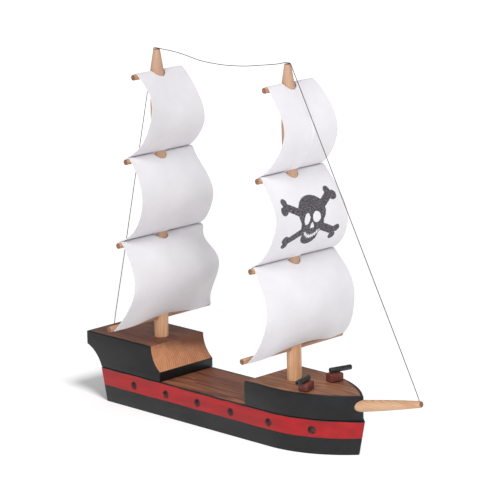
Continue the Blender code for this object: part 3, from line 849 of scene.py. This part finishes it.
# Each sail's belly from starboard to port edge: its depth in millimetres, how far above the middle
# its fullest place lies, and how much it's drawn in next to the head and next to the foot
BELLY_ROWS = ("depth", "rise", "head", "foot")
SAILS = {
    ("main", 1): (
        (17.0, 17.5, 18.0, 17.2, 12.2), (0.01, 0.01, 0.02, 0.04, 0.09),
        (0.26, 0.25, 0.30, 0.60, 1.45), (0.30, 0.20, 0.20, 0.50, 1.30),
    ),
    ("main", 2): (
        (17.3, 17.3, 17.5, 17.5, 17.2), (-0.03, -0.03, -0.03, -0.02, -0.02),
        (0.10, 0.15, 0.25, 0.45, 0.80), (0.0, 0.0, 0.0, 0.0, 0.0),
    ),
    ("main", 3): (
        (18.9, 18.5, 18.3, 18.3, 18.4), (0.10, 0.06, 0.02, -0.02, -0.05),
        (0.44, 0.40, 0.35, 0.30, 0.27), (-0.3, -0.2, 0.0, 0.15, 0.30),
    ),
    ("fore", 1): (
        (15.1, 16.0, 16.5, 15.8, 14.0), (0.02, 0.02, 0.02, 0.03, 0.04),
        (0.45, 0.40, 0.35, 0.35, 0.41), (0.0, 0.0, 0.0, -0.1, -0.2),
    ),
    ("fore", 2): (
        (17.0, 17.3, 17.5, 17.8, 18.1), (0.02, 0.0, -0.02, -0.04, -0.06),
        (0.48, 0.42, 0.38, 0.38, 0.41), (-0.1, 0.0, 0.0, 0.0, 0.0),
    ),
    ("fore", 3): (
        (18.5, 18.3, 18.3, 18.5, 18.8), (0.0, 0.0, 0.0, 0.0, 0.0),
        (0.59, 0.50, 0.40, 0.30, 0.26), (0.1, 0.1, 0.1, 0.1, 0.1),
    ),
}
# The free foot of the lowest sails in millimetres ahead of and above their yard, starboard to port
LOOSE_FOOT = {
    "main": ((2.9, 4.8, 5.8, 6.2, 5.8, 4.4, 2.6), (-1.1, -0.3, 2.3, 3.1, 1.9, -0.5, 0.0)),
    "fore": ((2.9, 4.8, 5.8, 6.2, 5.8, 4.4, 2.6), (-1.2, -0.2, 2.5, 3.5, 3.1, 0.8, 1.0)),
}


def circle_point(centre, radius, angle):
    return Vector((centre.x + radius * math.cos(angle), centre.y + radius * math.sin(angle)))


def belly(start, end, shape, steps=48):
    """The cloth's line ahead of the chord from start to end: an arc, drawn in at its ends."""
    depth = shape["depth"] * MM
    chord = end - start
    ahead = Vector((-chord.y, chord.x)).normalized()
    half = 2 * math.atan(2 * depth / chord.length)
    radius = chord.length / 2 / math.sin(half)
    points = []
    for i in range(steps + 1):
        turn = half * (2 * i / steps - 1)
        down = 0.5 + 0.5 * math.sin(turn) / math.sin(half)
        out = radius * (math.cos(turn) - math.cos(half))
        wave = depth * math.sin(math.pi * down) ** 2
        out += (wave - out) * (shape["head"] * (1 - down) + shape["foot"] * down)
        points.append(start + chord * (down - shape["rise"] * out / depth) + ahead * out)
    return points


def sail_section(mast, level, across):
    """The cloth's line at one place across it, in (x, z): over the yard, down the belly, to the foot.

    Also how much of it lies behind the top of the yard.
    """
    upper, lower = yard_middle(mast, level + 1), yard_middle(mast, level)
    radius, over = yard_radius(mast) + WRAP_GAP, yard_radius(mast) + LAPPED_GAP
    shape = {name: between(row, across) for name, row in zip(BELLY_ROWS, SAILS[mast, level])}
    leave, arrive = math.radians(60), math.radians(120)
    for _ in range(4):  # until the cloth leaves each yard along its own line
        start = circle_point(upper, radius, leave)
        end = circle_point(lower, over, arrive)
        if level == 1:
            end = lower + Vector([between(row, across) for row in LOOSE_FOOT[mast]]) * MM
        line = belly(start, end, shape)
        first, last = line[1] - line[0], line[-1] - line[-2]
        leave = max(math.atan2(first.x, -first.y), LEAST_LEAVE)
        arrive = math.atan2(-last.x, last.y)
    steps = 10
    turns = [BACK_ANGLE + (leave - BACK_ANGLE) * i / steps for i in range(steps)]
    section = [circle_point(upper, radius, turn) for turn in turns] + line
    if level > 1:
        turns = [arrive + (BACK_ANGLE - arrive) * i / steps for i in range(1, steps + 1)]
        section += [circle_point(lower, over, turn) for turn in turns]
    return section, radius * (BACK_ANGLE - math.pi / 2)


def yard_middle(mast, level):
    return measures(f"{mast}_yard_{level}")[0].xz


def yard_radius(mast):
    return measures(mast + "_yard_1")[1].z


def walk(section):
    """Distances along a line of points."""
    walked = [0.0]
    for p, q in zip(section, section[1:]):
        walked.append(walked[-1] + (q - p).length)
    return walked


def at_distance(section, walked, distance):
    i = next((i for i, far in enumerate(walked[1:-1]) if distance <= far), len(section) - 2)
    share = (distance - walked[i]) / (walked[i + 1] - walked[i])
    return section[i].lerp(section[i + 1], share)


def notch_start(y, fold):
    """Where the cloth starts, along its section, at a place near the mast: past a round notch."""
    if abs(y) >= NOTCH_HALF_WIDTH:
        return 0.0
    return fold + NOTCH_DEPTH * math.sqrt(1 - (y / NOTCH_HALF_WIDTH) ** 2)


def over_mast(section, y, yard):
    """The section as it runs at y: its foot rests on the mast's front, if that is in its way."""
    room = MAST_RADIUS + MAST_CLEARANCE
    if abs(y) >= room:
        return section
    ahead = math.sqrt(room**2 - y * y)
    front = yard.x + ahead
    for i in range(len(section) // 2, len(section) - 1):
        here, following = section[i], section[i + 1]
        if here.x >= front > following.x:
            touch = here.lerp(following, (here.x - front) / (here.x - following.x))
            drop = max(touch.y - yard.y - FOOT_ON_MAST - FOOT_SLOPE * ahead, 0.0)
            near = [(p, max(0.0, 1 - (p - touch).length / NOTCH_REACH)) for p in section[: i + 1] + [touch]]
            return [p - Vector((0, drop * share**2)) for p, share in near]
    return section


def sail_columns(head_low, head_high):
    """Places across the head, close together where the notch's and the mast's edges are."""
    inner, inside, outside = STRAIGHT_HALF_WIDTH, COLUMNS_INSIDE, COLUMNS_OUTSIDE
    dense = [inner * math.sin(math.pi / 2 * i / inside) for i in range(inside + 1)]
    fine = sorted({round(v, 7) for v in dense + [NOTCH_HALF_WIDTH - 0.02 * MM, NOTCH_HALF_WIDTH]})
    middle = [-v for v in fine[:0:-1]] + fine
    left = [head_low + (-inner - head_low) * i / outside for i in range(outside)]
    right = [inner + (head_high - inner) * i / outside for i in range(1, outside + 1)]
    return left + middle + right


def sail_span(mast, level, bare):
    """From the starboard to the port edge of the cloth on a yard."""
    lo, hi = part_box(f"{mast}_yard_{level}")
    return lo.y + bare[0], hi.y - bare[1]


def sail_column(mast, level, y_head, head, foot):
    """One column of the cloth as places in space and on the cloth, and the column's plain length."""
    edge = head[1] if y_head > 0 else -head[0]
    section, fold = sail_section(mast, level, y_head / edge)
    whole = walk(section)[-1]
    if level > 1:
        section = over_mast(section, y_head, yard_middle(mast, level))
    walked = walk(section)
    start, end = notch_start(y_head, fold), walked[-1]
    head_part, tail = fold + NOTCH_REACH, whole - NOTCH_REACH
    places = []
    for row in range(SAIL_ROWS + 1):
        plain = distance = row_distance(row / SAIL_ROWS, whole, fold)
        if plain < head_part:
            distance = start + plain * (head_part - start) / head_part
        if plain > tail:
            distance = tail + (plain - tail) * (end - tail) / (whole - tail)
        x, z = at_distance(section, walked, distance)
        y = widened(y_head, distance / whole, head, foot)
        places.append(((x, y, z), (y, distance - fold, 0.0)))
    return places, whole


def make_sail(mast, level):
    node = f"{mast}_sail_{LEVELS[level - 1]}"
    head = sail_span(mast, level + 1, BARE)
    foot = sail_span(mast, level, LOOSE_BARE if level == 1 else BARE)
    shape = bmesh.new()
    cloth = shape.verts.layers.float_vector.new("cloth")
    columns = []
    for y_head in sail_columns(*head):
        places, height = sail_column(mast, level, y_head, head, foot)
        column = []
        for in_space, on_cloth in places:
            column.append(shape.verts.new(in_space))
            column[-1][cloth] = on_cloth
        columns.append(column)
    for near, far in zip(columns, columns[1:]):
        for row in range(SAIL_ROWS):
            shape.faces.new((near[row], near[row + 1], far[row + 1], far[row]))
    bmesh.ops.recalc_face_normals(shape, faces=shape.faces)
    sail = shown(shape, node + "_cloth")
    wrinkle(sail, mast, level)
    thick = sail.modifiers.new("cloth", "SOLIDIFY")
    thick.thickness = CLOTH_THICKNESS
    thick.offset = 0
    if (mast, level) == EMBLEM_SAIL:
        looks, choose = ("emblem", "cloth"), lambda _, normal: "emblem" if normal.x > 0.1 else "cloth"
    else:
        looks, choose = ("cloth",), None
    complete(sail, sail.name, looks, node, mast + "_mast", choose, CLOTH_ANGLE)


def row_distance(share, whole, fold):
    """Rows lie closer together where the cloth bends round a yard."""
    tight = 2.2 * fold
    head_share, foot_share = 0.25, 0.15
    if share < head_share:
        return tight * share / head_share
    if share > 1 - foot_share:
        return whole - tight * (1 - share) / foot_share
    return tight + (whole - 2 * tight) * (share - head_share) / (1 - head_share - foot_share)


def widened(y_head, share, head, foot):
    """A column's place further down: straight in the middle, spreading to the foot's width outside."""
    if abs(y_head) <= STRAIGHT_HALF_WIDTH:
        return y_head
    inner = math.copysign(STRAIGHT_HALF_WIDTH, y_head)
    head_edge, foot_edge = (head[1], foot[1]) if y_head > 0 else (head[0], foot[0])
    edge = head_edge + (foot_edge - head_edge) * share
    return inner + (edge - inner) * (y_head - inner) / (head_edge - inner)


def wrinkle(sail, mast, level):
    """Slow unevenness of stiff cloth, and one sail's faint upright crease."""
    lower, upper = yard_middle(mast, level).y, yard_middle(mast, level + 1).y
    seed = level * 1.7 + (5.0 if mast == "fore" else 0.0)
    for vertex in sail.data.vertices:
        _, y, z = vertex.co
        height = (z - lower) / (upper - lower)
        free = max(0.0, min(1.0, 4 * height * (1 - height)))
        wave = math.sin(y * 95 + seed) * math.sin(height * 4.1 + seed)
        wave += 0.6 * math.sin(y * 210 + 3 * height + seed)
        vertex.co.x += WRINKLE_HEIGHT * wave * free
        if (mast, level) == CREASED_SAIL:
            vertex.co.x += CREASE_HEIGHT * free * max(0.0, 1 - abs(y - CREASE_Y) / CREASE_HALF_WIDTH)


# ---------------- bowsprit, cannons, thread


def make_bowsprit():
    """A dowel that tapers to a rounded tip, with a hole there for the thread."""
    axis = BOWSPRIT_TIP - BOWSPRIT_FOOT
    radius, tip_radius, length = measures("bowsprit")[1].y, BOWSPRIT_TIP_RADIUS, axis.length
    taper_end = length - 1.3 * MM
    profile = [
        (0.0, length),
        (tip_radius - 1.2 * MM, length),
        (tip_radius - 0.35 * MM, length - 0.35 * MM),
        (tip_radius, taper_end),
    ]
    steps = 8
    for share in (i / steps for i in range(1, steps + 1)):
        swell = BOWSPRIT_SWELL * math.sin(math.pi * share)
        place = taper_end + (BOWSPRIT_FULL - taper_end) * share
        profile.append((tip_radius + (radius - tip_radius) * share + swell, place))
    profile += [(radius, 0.0), (0.0, 0.0)]
    piece = turned(profile)
    piece.data.transform(Matrix.Translation(BOWSPRIT_FOOT) @ towards(axis))
    end = THREAD_ROUTE[-1]
    out = (THREAD_ROUTE[-2] - end).normalized()
    cut(piece, rod(end, end + out * 8 * MM, THREAD_HOLE_RADIUS, 20))
    complete_dowel(piece, "bowsprit_dowel", "spar", 0, "bowsprit", "hull")


def make_cannon(side):
    """A block with eased edges, and a tube across it with a hollow muzzle."""
    sign = 1 if side == "port" else -1
    node = "cannon_carriage_" + side
    middle, half = measures(node)
    shape = bmesh.new()
    bmesh.ops.create_cube(shape, size=1.0)
    bmesh.ops.scale(shape, vec=(*CARRIAGE_SIZE, 2 * half.z), verts=shape.verts)
    turn = Matrix.Rotation(sign * CANNON_HEADING, 4, "Z")
    bmesh.ops.transform(shape, matrix=Matrix.Translation(middle) @ turn, verts=shape.verts)
    carriage = shown(shape, "carriage")
    ease(carriage, 0.8 * MM, 4)
    complete(carriage, f"cannon_{side}_block", ("carriage",), node, "hull")

    node = "cannon_barrel_" + side
    middle, half = measures(node)
    heading = Vector((math.cos(CANNON_HEADING), sign * math.sin(CANNON_HEADING), 0))
    breech, muzzle = middle - heading * BARREL_LENGTH / 2, middle + heading * BARREL_LENGTH / 2
    barrel = rod(breech, muzzle, half.z, 40)
    ease(barrel, 0.3 * MM, 3, 60)
    cut(barrel, rod(muzzle - heading * MUZZLE_DEPTH, muzzle + heading * 2 * MM, MUZZLE_RADIUS, 24))
    complete(barrel, f"cannon_{side}_tube", ("barrel",), node, "hull")


def make_thread():
    points = smooth_points(THREAD_ROUTE, 3 * MM)
    curve = bpy.data.curves.new("thread", "CURVE")
    curve.dimensions = "3D"
    curve.bevel_depth = THREAD_DIAMETER / 2
    curve.bevel_resolution = 3
    curve.use_fill_caps = True
    spline = curve.splines.new("POLY")
    spline.points.add(len(points) - 1)
    for point, place in zip(spline.points, points):
        point.co = (*place, 1)
    spline.use_smooth = True
    thread = show(curve, "rigging")
    curve.materials.append(FINISHES["thread"])
    belongs(thread, "rigging_thread", "hull")


# ---------------- camera, light, floor


def away_from_ship(azimuth, elevation):
    """The direction of a view from these angles in radians: starboard abeam is 0, dead ahead 90 degrees."""
    level = math.cos(elevation)
    return Vector((math.sin(azimuth) * level, -math.cos(azimuth) * level, math.sin(elevation)))


def make_camera():
    back = away_from_ship(AZIMUTH, ELEVATION)
    level = Vector((math.cos(AZIMUTH), math.sin(AZIMUTH), 0))
    right = level * math.cos(ROLL) + back.cross(level) * math.sin(ROLL)
    turn = Matrix((right, back.cross(right), back)).transposed().to_4x4()
    data = bpy.data.cameras.new("camera")
    data.lens = LENS_MM
    data.sensor_width = SENSOR_MM
    camera = show(data, "camera")
    camera.matrix_world = Matrix.Translation(TARGET + back * DISTANCE) @ turn
    bpy.context.scene.camera = camera


def make_light(name, azimuth, elevation, size, power):
    """A square soft lamp, placed round the ship as a view is, turned to its middle."""
    away = away_from_ship(math.radians(azimuth), math.radians(elevation))
    data = bpy.data.lights.new(name, "AREA")
    data.size = size
    data.energy = power
    light = show(data, name)
    light.location = TARGET + away * LAMP_DISTANCE
    light.rotation_euler = away.to_track_quat("Z", "Y").to_euler()
    return light


def collection(name, pieces):
    made = bpy.data.collections.new(name)
    for piece in pieces:
        made.objects.link(piece)
    return made


def make_floor():
    """White paper that glows a little, and more with distance, so that it has no far edge."""
    shape = bmesh.new()
    bmesh.ops.create_circle(shape, cap_ends=True, segments=96, radius=FLOOR_RADIUS)
    floor = shown(shape, "floor")
    look = Finish("floor_paper")
    look.finish(look.mix(look.noise(3, 2.0), (247, 247, 247), (249.3, 249.3, 249.3)), 0.9)
    look.shader.inputs["Emission Color"].default_value = (1.0, 1.0, 1.0, 1.0)
    glow = look.spread(look.vector("LENGTH", look.place), 0.15, 1.3, 0.18, 0.59)
    look.feed(glow, look.shader.inputs["Emission Strength"])
    floor.data.materials.append(look.material)
    return floor


def make_studio():
    """Pale surroundings, two lamps for the ship, and one for the floor, where only the hull shades it."""
    world = bpy.data.worlds.new("studio")
    bpy.context.scene.world = world
    world.use_nodes = True
    sky = world.node_tree.nodes["Background"].inputs
    sky["Color"].default_value = (1.0, 1.0, 1.0, 1.0)
    sky["Strength"].default_value = 0.335
    ship = collection("ship", [p for p in bpy.context.scene.objects if p.type in ("MESH", "CURVE")])
    floor = make_floor()
    for look in (("key", 24, 41, 1.6, 61.0), ("bow_light", 74, 40, 1.0, 23.0)):
        make_light(*look).light_linking.receiver_collection = ship
    linking = make_light("floor_lamp", 65, 50, 0.8, 80.0).light_linking
    linking.receiver_collection = collection("ground", [floor])
    blockers = [bpy.data.objects[name] for name in ("hull_plank", "poop", "forecastle")]
    linking.blocker_collection = collection("hull_blockers", blockers)
    bpy.context.scene.view_settings.view_transform = "Standard"


FINISHES = make_finishes()
make_camera()
make_thread()
make_hull()
make_poop()
make_forecastle()
make_bowsprit()
for mast in ("main", "fore"):
    make_mast(mast)
    for level in range(1, 5):
        make_yard(mast, level)
    for level in range(1, 4):
        make_sail(mast, level)
for side in ("port", "starboard"):
    make_cannon(side)
make_studio()
